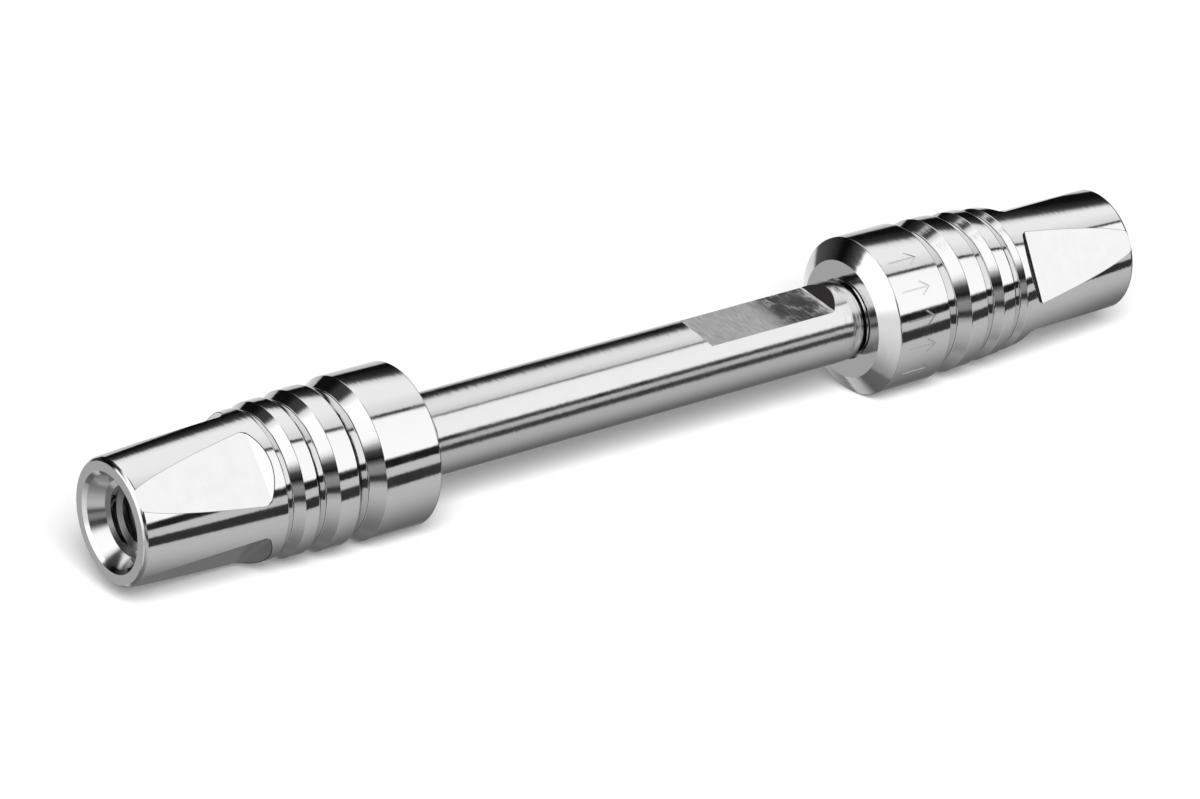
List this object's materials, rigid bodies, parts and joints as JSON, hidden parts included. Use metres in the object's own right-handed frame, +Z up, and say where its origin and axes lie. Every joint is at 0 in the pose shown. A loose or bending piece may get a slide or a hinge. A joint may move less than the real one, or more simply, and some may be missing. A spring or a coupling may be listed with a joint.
{
  "type": "hplc column",
  "caption": "Packed steel column for liquid chromatography: a straight tube between turned end fittings with coned threaded ports and wrench flats.",
  "frame": {"origin": "on the column's axis, half way between the two end faces", "axes": "+X along the axis in the direction of flow, from inlet to outlet; +Z up with the column lying on its side"},
  "size_m": [0.091, 0.0124, 0.0124],
  "materials": {
    "polished_tube": "polished stainless steel, satin milled flat",
    "polished_fitting": "polished stainless steel with fine turning lines",
    "bed_particles": "fine white packed powder",
    "porous_steel": "matte sintered steel",
    "seal_polymer": "matte natural polymer"
  },
  "bodies": {
    "root": {"column_tube": "polished_tube", "inlet_end_fitting": "polished_fitting", "outlet_end_fitting": "polished_fitting", "packed_bed": "bed_particles", "inlet_frit": "porous_steel", "outlet_frit": "porous_steel", "inlet_frit_ring": "seal_polymer", "outlet_frit_ring": "seal_polymer"}
  },
  "joints": []
}
